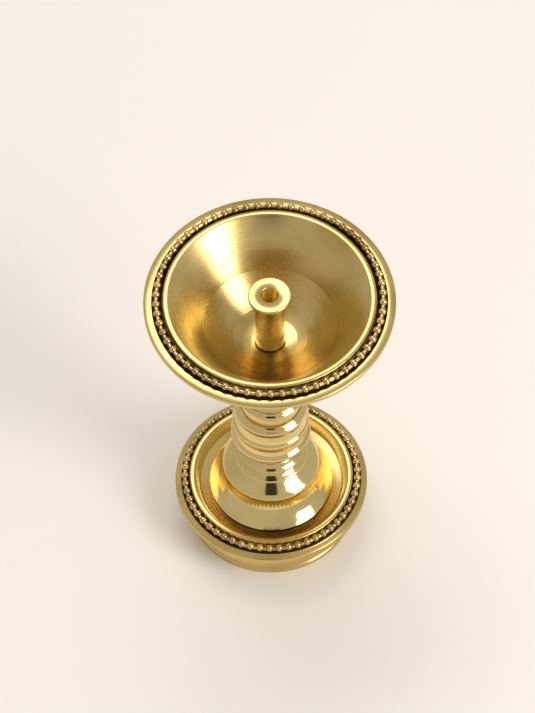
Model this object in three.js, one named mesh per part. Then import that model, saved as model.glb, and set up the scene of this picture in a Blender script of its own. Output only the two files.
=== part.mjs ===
// Pedestal diya: a turned brass oil lamp with a drip tray, a stacked stem, a bowl and a wick holder.
// Millimetres, +Z up, origin at the centre of the foot's resting face.
import * as THREE from 'three';

// Fits
const SEAT = 0.3;            // gap left between pieces that rest on or pass through each other
const SEGMENTS = 36;         // facets round a turned piece

// Base tray
const FOOT_RADIUS = 29.3;
const FOOT_WALL = 2.1;
const BAND_RADIUS = 30.3;
const BAND_HEIGHT = 6;
const TRAY_RADIUS = 33.8;
const TRAY_LAND_WIDTH = 2.1;
const TRAY_LAND_HEIGHT = 16;
const TRAY_BEAD_SEAT = 0.9;
const TRAY_LIP_RISE = 3.4;
const TRAY_LIP_RADIUS = 28.7;
const TRAY_LIP_WIDTH = 1.8;
const TRAY_FLOOR_RADIUS = 24.9;
const TRAY_FLOOR_HEIGHT = 15.5;
const TRAY_FLOOR_THICKNESS = 2.5;

// Beaded wires
const TRAY_BEADS = 57;
const BOWL_BEADS = 62;
const BEAD_RADIUS = 1.25;
const BEAD_WAIST = 0.75;

// Stem sections, from the tray upwards
const TRUMPET_FOOT_RADIUS = 21.7;
const TRUMPET_TOP_RADIUS = 15;
const TRUMPET_HEIGHT = 10.8;
const BELL_RADIUS = 17;
const BELL_HEIGHT = 13.6;
const BELL_WAIST_RADIUS = 9.8;
const BELL_RING_RADIUS = 11.8;
const DRUM_RIM_RADIUS = 13.8;
const DRUM_RADIUS = 12.4;
const DRUM_MIDDLE_RING_RADIUS = 13.3;
const DRUM_TOP_RING_RADIUS = 12.7;
const DRUM_HEIGHT = 25;
const COLLAR_RADIUS = 10.9;
const COLLAR_RING_RADIUS = 11.5;
const COLLAR_HEIGHT = 7.4;
const NECK_WAIST_RADIUS = 6.8;
const NECK_TOP_RADIUS = 9.5;
const NECK_HEIGHT = 21.5;

// Tie rod and its fastening under the tray
const ROD_RADIUS = 2.4;
const ROD_ENGAGEMENT = 3.7;
const WASHER_RADIUS = 7;
const WASHER_THICKNESS = 1.2;
const NUT_RADIUS = 4.6;
const NUT_HEIGHT = 4;
const ROD_TAIL = 1.5;

// Bowl
const BOWL_RADIUS = 42;
const BOWL_LAND_WIDTH = 2.4;
const BOWL_EDGE = 1.6;
const BOWL_LIP_RADIUS = 35.6;
const BOWL_LIP_RISE = 2;
const BOWL_MOUTH_RADIUS = 33.7;
const BOWL_DEPTH = 26;
const BOWL_KNEE_RADIUS = 22.4;
const BOWL_KNEE_DEPTH = 15.7;
const BOWL_WALL = 2.2;
const BOWL_FLAT_RADIUS = 6;
const BOSS_RADIUS = 8.4;
const BOSS_HEIGHT = 8;

// Wick holder
const HOLDER_HEIGHT = 27.2;
const HOLDER_DISC_RADIUS = 7.26;
const HOLDER_DISC_THICKNESS = 1.6;
const HOLDER_TOP_RADIUS = 5.2;
const HOLDER_LOW_RADIUS = 4.7;
const HOLDER_FOOT_RADIUS = 5;
const WICK_BORE_RADIUS = 2.9;
const WICK_BORE_DEPTH = 22;
const SPIGOT_LENGTH = 4;

// Levels that follow from the sizes above
const TRUMPET_Z = TRAY_FLOOR_HEIGHT + SEAT;
const BELL_Z = TRUMPET_Z + TRUMPET_HEIGHT + SEAT;
const DRUM_Z = BELL_Z + BELL_HEIGHT + SEAT;
const COLLAR_Z = DRUM_Z + DRUM_HEIGHT + SEAT;
const NECK_Z = COLLAR_Z + COLLAR_HEIGHT + SEAT;
const BOSS_Z = NECK_Z + NECK_HEIGHT + SEAT;
const BOWL_FLOOR_Z = BOSS_Z + BOSS_HEIGHT;
const BOWL_LIP_Z = BOWL_FLOOR_Z + BOWL_DEPTH;
const BOWL_LAND_Z = BOWL_LIP_Z - BOWL_LIP_RISE;
const TRAY_UNDERSIDE_Z = TRAY_FLOOR_HEIGHT - TRAY_FLOOR_THICKNESS;
const ROD_BORE = ROD_RADIUS + SEAT;

const group = new THREE.Group();

function brass(color, roughness) {
  return new THREE.MeshStandardMaterial({ color, roughness, metalness: 1 });
}

function add(name, geometry, material) {
  const mesh = new THREE.Mesh(geometry, material);
  mesh.name = name;
  group.add(mesh);
  return mesh;
}

// A closed profile of [radius, height] points, turned about the Z axis.
function turned(points, segments = SEGMENTS) {
  const closed = [...points, points[0]].map(([radius, height]) => new THREE.Vector2(radius, height));
  const geometry = new THREE.LatheGeometry(closed, segments);
  geometry.rotateX(Math.PI / 2);
  return geometry;
}

// A turned section with a bore: the outline runs up its outside from the bottom face to the top face.
function boredSection(outline, bore) {
  const bottom = outline[0][1];
  const top = outline[outline.length - 1][1];
  return turned([...outline, [bore, top], [bore, bottom]]);
}

// A half-round moulding standing on a cylinder, as [radius, height] points.
function moulding(coreRadius, crestRadius, centre, halfHeight) {
  const crest = halfHeight * 0.5;
  return [
    [coreRadius, centre - halfHeight],
    [crestRadius, centre - crest],
    [crestRadius, centre + crest],
    [coreRadius, centre + halfHeight],
  ];
}

// A ring of beads joined by waists, as a beaded wire is: a closed tube whose thickness swells at each bead.
function beadedWire(circleRadius, height, count) {
  const stepsPerBead = 4;
  const sides = 6;
  const steps = count * stepsPerBead;
  const positions = [];
  const index = [];
  for (let step = 0; step < steps; step += 1) {
    const angle = (2 * Math.PI * step) / steps;
    const swell = Math.abs(Math.sin((Math.PI * step) / stepsPerBead));
    const thickness = BEAD_WAIST + (BEAD_RADIUS - BEAD_WAIST) * swell;
    for (let side = 0; side < sides; side += 1) {
      const turn = (2 * Math.PI * side) / sides;
      const radius = circleRadius + thickness * Math.cos(turn);
      positions.push(radius * Math.cos(angle), radius * Math.sin(angle), height + thickness * Math.sin(turn));
    }
  }
  for (let step = 0; step < steps; step += 1) {
    const next = (step + 1) % steps;
    for (let side = 0; side < sides; side += 1) {
      const beside = (side + 1) % sides;
      const a = step * sides + side;
      const b = next * sides + side;
      const c = next * sides + beside;
      const d = step * sides + beside;
      index.push(a, b, c, a, c, d);
    }
  }
  const geometry = new THREE.BufferGeometry();
  geometry.setAttribute('position', new THREE.Float32BufferAttribute(positions, 3));
  geometry.setIndex(index);
  geometry.computeVertexNormals();
  return geometry;
}

// Base tray: foot ring, banded wall, stepped rim for the beads and a floor with the rod's hole.
function baseTray() {
  const seatZ = TRAY_LAND_HEIGHT + TRAY_BEAD_SEAT;
  const lipZ = TRAY_LAND_HEIGHT + TRAY_LIP_RISE;
  const landInner = TRAY_RADIUS - TRAY_LAND_WIDTH;
  const footInner = FOOT_RADIUS - FOOT_WALL;
  return turned([
    [footInner, 0],
    [FOOT_RADIUS, 0],
    [FOOT_RADIUS, 1.5],
    [FOOT_RADIUS - 0.8, 2],
    [FOOT_RADIUS - 0.8, 3],
    [BAND_RADIUS - 0.7, BAND_HEIGHT - 2.2],
    [BAND_RADIUS, BAND_HEIGHT],
    [BAND_RADIUS - 0.7, BAND_HEIGHT + 2.2],
    [BAND_RADIUS + 0.6, BAND_HEIGHT + 4],
    [TRAY_RADIUS - 0.8, TRAY_LAND_HEIGHT - 3.2],
    [TRAY_RADIUS, TRAY_LAND_HEIGHT - 2.4],
    [TRAY_RADIUS, TRAY_LAND_HEIGHT],
    [landInner, TRAY_LAND_HEIGHT],
    [landInner, seatZ],
    [TRAY_LIP_RADIUS, seatZ],
    [TRAY_LIP_RADIUS, lipZ],
    [TRAY_LIP_RADIUS - TRAY_LIP_WIDTH, lipZ],
    [TRAY_FLOOR_RADIUS, TRAY_FLOOR_HEIGHT],
    [ROD_BORE, TRAY_FLOOR_HEIGHT],
    [ROD_BORE, TRAY_UNDERSIDE_Z],
    [footInner - 2.8, TRAY_UNDERSIDE_Z],
    [footInner, TRAY_UNDERSIDE_Z - 2.6],
  ]);
}

// Trumpet foot: flares onto the tray's floor.
function trumpetFoot() {
  const spread = TRUMPET_FOOT_RADIUS - TRUMPET_TOP_RADIUS;
  const outline = [[TRUMPET_FOOT_RADIUS, TRUMPET_Z]];
  for (const share of [0.08, 0.25, 0.5, 0.75, 1]) {
    const radius = TRUMPET_TOP_RADIUS + spread * (1 - share) ** 2.2;
    outline.push([radius, TRUMPET_Z + TRUMPET_HEIGHT * share]);
  }
  return boredSection(outline, ROD_BORE);
}

// Lower bell: a wide rim, a waist and a ring, with a thin raised ring between them.
function lowerBell() {
  const ringZ = BELL_Z + BELL_HEIGHT - 2.6;
  return boredSection([
    [BELL_RADIUS - 0.8, BELL_Z],
    [BELL_RADIUS, BELL_Z + 0.7],
    [BELL_RADIUS, BELL_Z + 1.7],
    [BELL_RADIUS - 1.6, BELL_Z + 3],
    [BELL_WAIST_RADIUS + 2.9, BELL_Z + 4.7],
    ...moulding(BELL_WAIST_RADIUS + 2.1, BELL_WAIST_RADIUS + 2.7, BELL_Z + 6, 0.7),
    [BELL_WAIST_RADIUS + 0.6, BELL_Z + 7.5],
    [BELL_WAIST_RADIUS, BELL_Z + 8.8],
    ...moulding(BELL_WAIST_RADIUS + 0.7, BELL_RING_RADIUS, ringZ, 1.1),
    [BELL_WAIST_RADIUS, BELL_Z + BELL_HEIGHT],
  ], ROD_BORE);
}

// Ringed drum: the thick middle of the stem with three turned rings.
function ringedDrum() {
  return boredSection([
    [BELL_WAIST_RADIUS, DRUM_Z],
    [BELL_WAIST_RADIUS - 0.5, DRUM_Z + 2.4],
    [BELL_WAIST_RADIUS + 0.6, DRUM_Z + 5],
    ...moulding(DRUM_RADIUS, DRUM_RIM_RADIUS, DRUM_Z + 7.6, 1.6),
    ...moulding(DRUM_RADIUS, DRUM_MIDDLE_RING_RADIUS, DRUM_Z + 15.2, 1.2),
    ...moulding(DRUM_RADIUS - 0.5, DRUM_TOP_RING_RADIUS, DRUM_Z + 22.8, 1.1),
    [COLLAR_RADIUS, DRUM_Z + DRUM_HEIGHT],
  ], ROD_BORE);
}

// Upper collar: a short section that ends in a ring under the neck.
function upperCollar() {
  return boredSection([
    [COLLAR_RADIUS, COLLAR_Z],
    [COLLAR_RADIUS - 0.5, COLLAR_Z + 3],
    ...moulding(COLLAR_RADIUS - 0.4, COLLAR_RING_RADIUS, COLLAR_Z + COLLAR_HEIGHT - 1.6, 0.9),
    [COLLAR_RADIUS - 0.8, COLLAR_Z + COLLAR_HEIGHT],
  ], ROD_BORE);
}

// Neck: a waisted section that carries the bowl.
function neck() {
  const spread = COLLAR_RADIUS - 0.8 - NECK_WAIST_RADIUS;
  return boredSection([
    [NECK_WAIST_RADIUS + spread, NECK_Z],
    [NECK_WAIST_RADIUS + spread * 0.4, NECK_Z + NECK_HEIGHT * 0.15],
    [NECK_WAIST_RADIUS, NECK_Z + NECK_HEIGHT * 0.45],
    [NECK_WAIST_RADIUS + 0.5, NECK_Z + NECK_HEIGHT * 0.7],
    [NECK_TOP_RADIUS - 1, NECK_Z + NECK_HEIGHT * 0.86],
    [NECK_TOP_RADIUS, NECK_Z + NECK_HEIGHT - 2],
    [NECK_TOP_RADIUS, NECK_Z + NECK_HEIGHT],
  ], ROD_BORE);
}

// Bowl: stepped rim for the beads, flared wall, rounded bottom and a threaded boss beneath.
function bowl() {
  const kneeZ = BOWL_LIP_Z - BOWL_KNEE_DEPTH;
  const bottomRise = kneeZ - BOWL_FLOOR_Z;
  const bottomRun = BOWL_KNEE_RADIUS - BOWL_FLAT_RADIUS;
  const inside = [];
  const outside = [];
  for (const share of [0, 0.2, 0.4, 0.6, 0.8, 1]) {
    const fall = bottomRise * (1 - share) ** 1.7;
    const radius = BOWL_KNEE_RADIUS - bottomRun * share;
    inside.push([radius, BOWL_FLOOR_Z + fall]);
    outside.unshift([radius + BOWL_WALL * 0.9 * (1 - share * 0.2), BOWL_FLOOR_Z + fall - BOWL_WALL * 0.9]);
  }
  return turned([
    [ROD_BORE, BOSS_Z],
    [BOSS_RADIUS, BOSS_Z],
    [BOSS_RADIUS, BOWL_FLOOR_Z - BOWL_WALL - 0.4],
    ...outside.slice(1),
    [BOWL_MOUTH_RADIUS + BOWL_WALL * 0.6, BOWL_LAND_Z - BOWL_EDGE - 2],
    [BOWL_RADIUS - BOWL_EDGE, BOWL_LAND_Z - BOWL_EDGE - 0.6],
    [BOWL_RADIUS, BOWL_LAND_Z - BOWL_EDGE],
    [BOWL_RADIUS, BOWL_LAND_Z],
    [BOWL_LIP_RADIUS, BOWL_LAND_Z],
    [BOWL_LIP_RADIUS, BOWL_LIP_Z],
    [BOWL_MOUTH_RADIUS, BOWL_LIP_Z],
    ...inside,
    [ROD_BORE, BOWL_FLOOR_Z],
  ]);
}

// Wick holder: a flanged tube with a blind bore and a threaded spigot.
function wickHolder() {
  const footZ = BOWL_FLOOR_Z + SEAT;
  const topZ = footZ + HOLDER_HEIGHT;
  const discZ = topZ - HOLDER_DISC_THICKNESS;
  return new THREE.LatheGeometry([
    [0, footZ - SPIGOT_LENGTH],
    [ROD_RADIUS, footZ - SPIGOT_LENGTH],
    [ROD_RADIUS, footZ],
    [HOLDER_FOOT_RADIUS - 0.4, footZ],
    [HOLDER_FOOT_RADIUS, footZ + 1],
    [HOLDER_FOOT_RADIUS, footZ + 5],
    [HOLDER_LOW_RADIUS, footZ + 5.6],
    [HOLDER_TOP_RADIUS, discZ],
    [HOLDER_DISC_RADIUS - 0.3, discZ],
    [HOLDER_DISC_RADIUS, discZ + 0.4],
    [HOLDER_DISC_RADIUS, topZ - 0.2],
    [HOLDER_DISC_RADIUS - 0.3, topZ],
    [WICK_BORE_RADIUS, topZ],
    [WICK_BORE_RADIUS, topZ - WICK_BORE_DEPTH],
    [0, topZ - WICK_BORE_DEPTH],
  ].map(([radius, height]) => new THREE.Vector2(radius, height)), SEGMENTS).rotateX(Math.PI / 2);
}

// A solid bar along Z, given its two end heights.
function bar(radius, low, high, sides) {
  const geometry = new THREE.CylinderGeometry(radius, radius, high - low, sides);
  geometry.rotateX(Math.PI / 2);
  geometry.translate(0, 0, (low + high) / 2);
  return geometry;
}

// Washer: a flat ring that the rod passes through.
function washer(high) {
  const low = high - WASHER_THICKNESS;
  return turned([[ROD_BORE, low], [WASHER_RADIUS, low], [WASHER_RADIUS, high], [ROD_BORE, high]]);
}

// Hexagonal nut with a round hole.
function nut(low) {
  const outline = new THREE.Shape();
  for (let corner = 0; corner < 6; corner += 1) {
    const angle = (Math.PI * corner) / 3;
    const point = [NUT_RADIUS * Math.cos(angle), NUT_RADIUS * Math.sin(angle)];
    if (corner === 0) {
      outline.moveTo(...point);
    } else {
      outline.lineTo(...point);
    }
  }
  outline.closePath();
  outline.holes.push(new THREE.Path().absarc(0, 0, ROD_BORE, 0, 2 * Math.PI, true));
  const geometry = new THREE.ExtrudeGeometry(outline, { depth: NUT_HEIGHT, bevelEnabled: false, curveSegments: 12 });
  return geometry.translate(0, 0, low);
}

const satin = 0.32;
const polished = 0.12;
const trayBeadRadius = (TRAY_RADIUS - TRAY_LAND_WIDTH + TRAY_LIP_RADIUS) / 2;
const trayBeadZ = TRAY_LAND_HEIGHT + TRAY_BEAD_SEAT + SEAT + BEAD_RADIUS;
const bowlBeadRadius = (BOWL_RADIUS - BOWL_LAND_WIDTH + BOWL_LIP_RADIUS) / 2;
const bowlBeadZ = BOWL_LAND_Z + SEAT + BEAD_RADIUS;
const washerTop = TRAY_UNDERSIDE_Z - SEAT;
const nutTop = washerTop - WASHER_THICKNESS - SEAT;
const rodBottom = nutTop - NUT_HEIGHT - ROD_TAIL;

add('base_tray', baseTray(), brass('#b8923f', satin));
add('base_bead_ring', beadedWire(trayBeadRadius, trayBeadZ, TRAY_BEADS), brass('#a98235', satin));
add('trumpet_foot', trumpetFoot(), brass('#c79f45', polished));
add('lower_bell', lowerBell(), brass('#c9a24a', polished));
add('ringed_drum', ringedDrum(), brass('#c9a24a', polished));
add('upper_collar', upperCollar(), brass('#c9a24a', polished));
add('neck', neck(), brass('#c79f45', polished));
add('tie_rod', bar(ROD_RADIUS, rodBottom, BOSS_Z + ROD_ENGAGEMENT, 24),
  new THREE.MeshStandardMaterial({ color: '#8e9094', roughness: 0.4, metalness: 1 }));
add('base_washer', washer(washerTop), brass('#a8873f', satin));
add('base_nut', nut(nutTop - NUT_HEIGHT), brass('#a8873f', satin));
add('bowl', bowl(), brass('#bd9440', satin));
add('bowl_bead_ring', beadedWire(bowlBeadRadius, bowlBeadZ, BOWL_BEADS), brass('#a98235', satin));
add('wick_holder', wickHolder(), brass('#c29a44', satin));

export default group;
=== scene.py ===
# %% [markdown]
# # A turned brass pedestal lamp
# This script loads the lamp's frame, turns smooth visual pieces from the outlines of its solids,
# gives them brass finishes, and lights and frames them on a pale floor.

# %% Load the frame
import math
import bmesh
import bpy
from mathutils import Matrix, Vector


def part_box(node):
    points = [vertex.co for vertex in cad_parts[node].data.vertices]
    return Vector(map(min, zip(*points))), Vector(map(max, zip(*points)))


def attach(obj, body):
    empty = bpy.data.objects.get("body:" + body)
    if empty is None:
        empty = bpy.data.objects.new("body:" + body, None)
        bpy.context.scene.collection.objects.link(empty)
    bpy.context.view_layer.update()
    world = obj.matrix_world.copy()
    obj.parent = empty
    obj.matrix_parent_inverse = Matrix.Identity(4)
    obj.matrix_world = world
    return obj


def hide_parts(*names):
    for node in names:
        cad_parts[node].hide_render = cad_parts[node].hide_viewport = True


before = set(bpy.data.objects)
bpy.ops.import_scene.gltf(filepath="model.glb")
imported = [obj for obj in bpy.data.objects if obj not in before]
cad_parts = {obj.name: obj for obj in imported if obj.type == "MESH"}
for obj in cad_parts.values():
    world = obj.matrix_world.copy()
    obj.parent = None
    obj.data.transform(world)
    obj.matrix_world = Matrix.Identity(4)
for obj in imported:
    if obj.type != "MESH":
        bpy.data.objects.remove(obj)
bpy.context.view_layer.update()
scene = bpy.context.scene

# %% [markdown]
# ## Sizes
# Lengths are in metres and angles in degrees. Places that belong to a piece are read from its box.

# %% Sizes
MM = 0.001
TURN_STEPS = 160
EDGE_ROUND = 0.22 * MM
EDGE_SHARE = 0.3
SHARP_ANGLE = 50
SAME_POINT = 0.002 * MM
WELD = 0.001 * MM
BOWL_BEADS = 62
BASE_BEADS = 57
BEAD_RADIUS = 1.3 * MM
WIRE_RADIUS = 0.7 * MM
WIRE_DROP = 0.4 * MM
WIRE_SIDES = 8
WIRE_STEPS_PER_BEAD = 4
BEAD_SIDES = 16
LAND_WIDTH = 2.4 * MM
CHANNEL_HALF = 1.7 * MM
CHANNEL_BELOW = 1.0 * MM
CAMERA_DISTANCE = 1.52
CAMERA_PITCH = 56.7
CAMERA_ROLL = -0.56
CAMERA_LENS = 227
AIM_HEIGHT = 94 * MM
AIM_ASIDE = -0.9 * MM
FLOOR_SIZE = 4.0
FLOOR_COLOUR = (0.93, 0.86, 0.79, 1)
FLOOR_ROUGHNESS = 0.9
CARD_WIDTH, CARD_HEIGHT = 0.56, 0.8
CARD_COLOUR = (0.02, 0.018, 0.015, 1)
CARD_ROUGHNESS = 0.5
CARD_BEHIND = 0.05
WORLD_COLOUR = (1, 0.98, 0.95, 1)
WORLD_STRENGTH = 0.56
LIT_POINT = (0, 0, 60 * MM)
KEY_PLACE, KEY_SIZE, KEY_POWER = (0.85, -0.55, 0.75), (0.5, 0.8), 8
TOP_PLACE, TOP_SIZE, TOP_POWER = (-0.2, 0.6, 1.3), (1.0, 0.6), 6
BUMP_DEPTH = 0.05 * MM
print("segments round a turned piece:", TURN_STEPS)

# %% [markdown]
# ## Finishes
# One node group makes the fine rings a lathe tool leaves: bands that change along the radius and the
# height but not round the axis, with a little wandering tarnish laid over them.


# %% Finishes
def turning_marks():
    group = bpy.data.node_groups.new("turning_marks", "ShaderNodeTree")
    group.interface.new_socket("Ring Scale", in_out="INPUT", socket_type="NodeSocketFloat")
    group.interface.new_socket("Rings", in_out="OUTPUT", socket_type="NodeSocketFloat")
    group.interface.new_socket("Tarnish", in_out="OUTPUT", socket_type="NodeSocketFloat")
    nodes, links = group.nodes, group.links
    group_in = nodes.new("NodeGroupInput")
    group_out = nodes.new("NodeGroupOutput")
    place = nodes.new("ShaderNodeTexCoord")
    split = nodes.new("ShaderNodeSeparateXYZ")
    links.new(place.outputs["Object"], split.inputs[0])
    flat = nodes.new("ShaderNodeCombineXYZ")
    links.new(split.outputs["X"], flat.inputs["X"])
    links.new(split.outputs["Y"], flat.inputs["Y"])
    radius = nodes.new("ShaderNodeVectorMath")
    radius.operation = "LENGTH"
    links.new(flat.outputs[0], radius.inputs[0])
    both = nodes.new("ShaderNodeCombineXYZ")
    links.new(radius.outputs["Value"], both.inputs["X"])
    links.new(split.outputs["Z"], both.inputs["Y"])
    rings = nodes.new("ShaderNodeTexNoise")
    rings.inputs["Detail"].default_value = 6
    links.new(both.outputs[0], rings.inputs["Vector"])
    links.new(group_in.outputs["Ring Scale"], rings.inputs["Scale"])
    tarnish = nodes.new("ShaderNodeTexNoise")
    tarnish.inputs["Scale"].default_value = 55
    tarnish.inputs["Detail"].default_value = 5
    links.new(place.outputs["Object"], tarnish.inputs["Vector"])
    links.new(rings.outputs["Fac"], group_out.inputs["Rings"])
    links.new(tarnish.outputs["Fac"], group_out.inputs["Tarnish"])
    return group


MARKS = turning_marks()


def turned_metal(name, bright, dark, rough_low, rough_high, ring_scale, relief):
    material = bpy.data.materials.new(name)
    material.use_nodes = True
    nodes, links = material.node_tree.nodes, material.node_tree.links
    surface = nodes["Principled BSDF"]
    surface.inputs["Metallic"].default_value = 1
    marks = nodes.new("ShaderNodeGroup")
    marks.node_tree = MARKS
    marks.inputs["Ring Scale"].default_value = ring_scale
    colour = nodes.new("ShaderNodeMix")
    colour.data_type = "RGBA"
    colour.inputs["A"].default_value = (*bright, 1)
    colour.inputs["B"].default_value = (*dark, 1)
    stain = nodes.new("ShaderNodeMapRange")
    stain.inputs["From Min"].default_value = 0.45
    stain.inputs["From Max"].default_value = 0.8
    links.new(marks.outputs["Tarnish"], stain.inputs["Value"])
    links.new(stain.outputs["Result"], colour.inputs["Factor"])
    links.new(colour.outputs["Result"], surface.inputs["Base Color"])
    rough = nodes.new("ShaderNodeMapRange")
    rough.inputs["To Min"].default_value = rough_low
    rough.inputs["To Max"].default_value = rough_high
    links.new(marks.outputs["Rings"], rough.inputs["Value"])
    links.new(rough.outputs["Result"], surface.inputs["Roughness"])
    bump = nodes.new("ShaderNodeBump")
    bump.inputs["Strength"].default_value = relief
    bump.inputs["Distance"].default_value = BUMP_DEPTH
    links.new(marks.outputs["Rings"], bump.inputs["Height"])
    links.new(bump.outputs["Normal"], surface.inputs["Normal"])
    return material


SATIN = turned_metal("satin_brass", (0.70, 0.52, 0.20), (0.5, 0.35, 0.11), 0.18, 0.34, 1500, 0.3)
POLISHED = turned_metal("polished_brass", (0.82, 0.64, 0.28), (0.62, 0.45, 0.16), 0.05, 0.14, 900, 0.12)
BEAD = turned_metal("bead_brass", (0.66, 0.48, 0.19), (0.16, 0.09, 0.03), 0.2, 0.34, 900, 0.15)
# Painted shade: a near-black finish for the channel under the bead rings, standing in for the shade the
# beads cast.
PAINTED_CHANNEL_SHADE = turned_metal("painted_channel_shade", (0.05, 0.025, 0.01), (0.02, 0.01, 0.005), 0.5, 0.7, 900, 0.3)
STEEL = turned_metal("rod_steel", (0.5, 0.5, 0.52), (0.3, 0.3, 0.31), 0.3, 0.45, 2500, 0.6)
print("finishes:", [m.name for m in (SATIN, POLISHED, BEAD, PAINTED_CHANNEL_SHADE, STEEL)])

# %% [markdown]
# ## Turned pieces
# The outline of each turned solid is the loop of its edges in one half plane. It is turned again with
# many more steps, with every corner eased a little, as polishing does.


# %% Turned pieces
def outline_of(node):
    work = bmesh.new()
    work.from_mesh(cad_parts[node].data)
    bmesh.ops.remove_doubles(work, verts=work.verts, dist=SAME_POINT)
    flat = {v for v in work.verts if abs(v.co.x) < SAME_POINT and v.co.y < SAME_POINT}
    beside = {v: [] for v in flat}
    for edge in work.edges:
        a, b = edge.verts
        if a in flat and b in flat:
            beside[a].append(b)
            beside[b].append(a)
    ends = [v for v in flat if len(beside[v]) == 1]
    start = ends[0] if ends else min(flat, key=lambda v: (v.co.z, v.co.y))
    path, last, here = [start], None, start
    while True:
        ahead = [v for v in beside[here] if v is not last and v is not start]
        if not ahead:
            break
        last, here = here, ahead[0]
        path.append(here)
        if len(path) > len(flat):
            break
    points = [(abs(v.co.y), v.co.z) for v in path]
    work.free()
    return points, not ends


def eased(points, closed):
    count = len(points)
    result = []
    for i, here in enumerate(points):
        if not closed and i in (0, count - 1):
            result.append(here)
            continue
        for other in (points[i - 1], points[(i + 1) % count]):
            step = Vector(other) - Vector(here)
            reach = min(EDGE_ROUND, step.length * EDGE_SHARE)
            result.append(tuple(Vector(here) + step.normalized() * reach))
    return result


def with_land(ring):
    """Splits a wide flat rim into its outer land and the channel for the beads."""
    result = []
    for i, here in enumerate(ring):
        result.append(here)
        ahead = ring[(i + 1) % len(ring)]
        inner, outer = sorted((here[0], ahead[0]))
        level = abs(here[1] - ahead[1]) < WELD
        if level and outer - inner > 2 * LAND_WIDTH and inner > 0.8 * outer:
            result.append((outer - LAND_WIDTH, here[1]))
    return result


def turned(node, body, material):
    points, closed = outline_of(node)
    ring = with_land(eased(points, closed))
    count = len(ring)
    vertices = []
    for step in range(TURN_STEPS):
        angle = 2 * math.pi * step / TURN_STEPS
        vertices += [(r * math.cos(angle), r * math.sin(angle), z) for r, z in ring]
    faces = []
    for step in range(TURN_STEPS):
        here, ahead = step * count, (step + 1) % TURN_STEPS * count
        for i in range(count if closed else count - 1):
            j = (i + 1) % count
            faces.append((here + i, ahead + i, ahead + j, here + j))
    return finished(node, vertices, faces, body, material)


def finished(node, vertices, faces, body, material):
    mesh = bpy.data.meshes.new(node + "_fine")
    mesh.from_pydata(vertices, [], faces)
    work = bmesh.new()
    work.from_mesh(mesh)
    bmesh.ops.remove_doubles(work, verts=work.verts, dist=WELD)
    bmesh.ops.recalc_face_normals(work, faces=work.faces)
    work.to_mesh(mesh)
    work.free()
    for polygon in mesh.polygons:
        polygon.use_smooth = True
    mesh.set_sharp_from_angle(angle=math.radians(SHARP_ANGLE))
    piece = bpy.data.objects.new(node + "_fine", mesh)
    scene.collection.objects.link(piece)
    mesh.materials.append(material)
    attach(piece, body)
    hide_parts(node)
    return piece


for node in ("trumpet_foot", "lower_bell", "ringed_drum", "upper_collar", "neck"):
    turned(node, "stand", POLISHED)
base = turned("base_tray", "stand", SATIN)
turned("base_washer", "stand", SATIN)
bowl = turned("bowl", "bowl_body", SATIN)
turned("wick_holder", "wick_body", SATIN)
for node, material in (("base_nut", SATIN), ("tie_rod", STEEL)):
    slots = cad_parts[node].data.materials
    slots.clear()
    slots.append(material)

# %% [markdown]
# ## Beaded rims
# Each ring is a thin wire with a round bead at every pitch. The channel under the beads gets painted
# shade: the upward faces between the two lands are given a near-black finish where the beads shade
# them.


# %% Beaded rims
def bead_ring(node, body, count):
    low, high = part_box(node)
    centre_z = (low.z + high.z) / 2
    circle = high.x - (high.z - low.z) / 2
    ring = bmesh.new()
    for bead in range(count):
        angle = 2 * math.pi * (bead + 0.5) / count
        place = Vector((circle * math.cos(angle), circle * math.sin(angle), centre_z))
        bmesh.ops.create_uvsphere(ring, u_segments=BEAD_SIDES, v_segments=BEAD_SIDES // 2,
                                  radius=BEAD_RADIUS, matrix=Matrix.Translation(place))
    vertices = [tuple(v.co) for v in ring.verts]
    ring.verts.index_update()
    faces = [tuple(v.index for v in f.verts) for f in ring.faces]
    ring.free()
    steps = count * WIRE_STEPS_PER_BEAD
    first = len(vertices)
    for step in range(steps):
        angle = 2 * math.pi * step / steps
        for side in range(WIRE_SIDES):
            turn = 2 * math.pi * side / WIRE_SIDES
            reach = circle + WIRE_RADIUS * math.cos(turn)
            height = centre_z - WIRE_DROP + WIRE_RADIUS * math.sin(turn)
            vertices.append((reach * math.cos(angle), reach * math.sin(angle), height))
    for step in range(steps):
        here = first + step * WIRE_SIDES
        ahead = first + (step + 1) % steps * WIRE_SIDES
        for side in range(WIRE_SIDES):
            beside = (side + 1) % WIRE_SIDES
            faces.append((here + side, ahead + side, ahead + beside, here + beside))
    return finished(node, vertices, faces, body, BEAD)


# Paints shade into the bowl and base: upward faces in the channel under the beads get the near-black
# painted shade finish.
def darken_channel(piece, node):
    low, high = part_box(node)
    middle = high.x - (high.z - low.z) / 2
    piece.data.materials.append(PAINTED_CHANNEL_SHADE)
    painted = 0
    for polygon in piece.data.polygons:
        centre = polygon.center
        radius = math.hypot(centre.x, centre.y)
        in_channel = abs(radius - middle) < CHANNEL_HALF
        near_beads = low.z - CHANNEL_BELOW < centre.z < high.z
        if in_channel and near_beads and polygon.normal.z > 0.5:
            polygon.material_index = 1
            painted += 1
    return painted


bead_ring("bowl_bead_ring", "bowl_body", BOWL_BEADS)
bead_ring("base_bead_ring", "stand", BASE_BEADS)
dark_in_bowl = darken_channel(bowl, "bowl_bead_ring")
dark_in_base = darken_channel(base, "base_bead_ring")
print("dark faces in the channels:", dark_in_bowl, dark_in_base)

# %% [markdown]
# ## Floor, light and camera
# A pale warm floor, a broad light from above, a key from the front right and a dark card by the camera
# that the polished stem reflects. The lens is long, as a product photograph's is.


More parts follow.
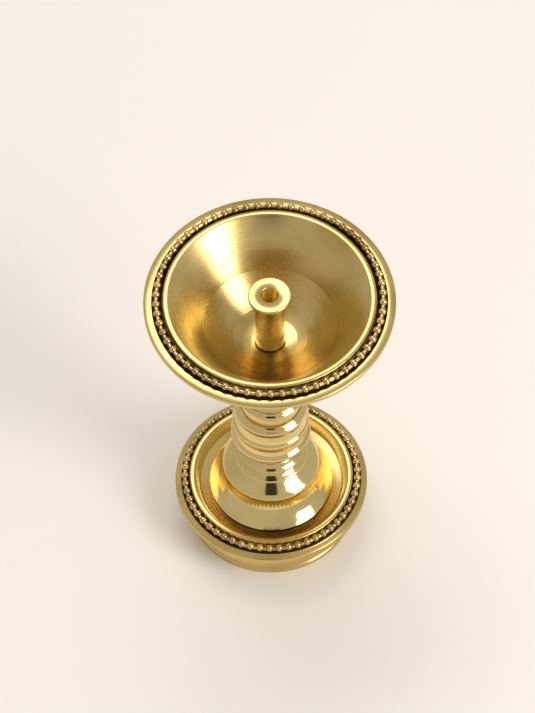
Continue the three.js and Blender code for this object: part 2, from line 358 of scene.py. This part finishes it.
# %% Floor and light
def sheet(name, width, height, material_name, colour, roughness):
    """A flat rectangle about the origin that belongs to the studio and not to the lamp."""
    x, y = width / 2, height / 2
    mesh = bpy.data.meshes.new(name)
    mesh.from_pydata([(-x, -y, 0), (x, -y, 0), (x, y, 0), (-x, y, 0)], [], [(0, 1, 2, 3)])
    material = bpy.data.materials.new(material_name)
    material.use_nodes = True
    surface = material.node_tree.nodes["Principled BSDF"]
    surface.inputs["Base Color"].default_value = colour
    surface.inputs["Roughness"].default_value = roughness
    mesh.materials.append(material)
    flat = bpy.data.objects.new(name, mesh)
    scene.collection.objects.link(flat)
    return flat


sheet("floor", FLOOR_SIZE, FLOOR_SIZE, "paper", FLOOR_COLOUR, FLOOR_ROUGHNESS)

world = bpy.data.worlds.new("studio")
scene.world = world
world.use_nodes = True
world.node_tree.nodes["Background"].inputs["Color"].default_value = WORLD_COLOUR
world.node_tree.nodes["Background"].inputs["Strength"].default_value = WORLD_STRENGTH


def softbox(name, place, size, power):
    light = bpy.data.lights.new(name, "AREA")
    light.shape = "RECTANGLE"
    light.size, light.size_y = size
    light.energy = power
    lamp = bpy.data.objects.new(name, light)
    lamp.location = place
    toward = Vector(LIT_POINT) - Vector(place)
    lamp.rotation_euler = toward.to_track_quat("-Z", "Y").to_euler()
    scene.collection.objects.link(lamp)


softbox("key", KEY_PLACE, KEY_SIZE, KEY_POWER)
softbox("top", TOP_PLACE, TOP_SIZE, TOP_POWER)

# %% [markdown]
# The card stands just behind the lens and stays out of the camera's own sight.

# %% Card and camera
pitch = math.radians(CAMERA_PITCH)
aim = Vector((AIM_ASIDE, 0, AIM_HEIGHT))
eye = aim + Vector((0, -math.cos(pitch), math.sin(pitch))) * CAMERA_DISTANCE
card = sheet("card", CARD_WIDTH, CARD_HEIGHT, "black_card", CARD_COLOUR, CARD_ROUGHNESS)
turn = (aim - eye).to_track_quat("-Z", "Y")
card.matrix_world = Matrix.Translation(eye + (eye - aim) * CARD_BEHIND) @ turn.to_matrix().to_4x4()
card.visible_camera = False
card.visible_shadow = False

lens = bpy.data.cameras.new("camera")
lens.lens = CAMERA_LENS
lens.clip_start = 0.05
camera = bpy.data.objects.new("camera", lens)
scene.collection.objects.link(camera)
roll = Matrix.Rotation(math.radians(CAMERA_ROLL), 4, "Z")
camera.matrix_world = Matrix.Translation(eye) @ turn.to_matrix().to_4x4() @ roll
scene.camera = camera
scene.view_settings.view_transform = "Standard"
print("camera height in m:", round(eye.z, 3))

bpy.context.view_layer.update()
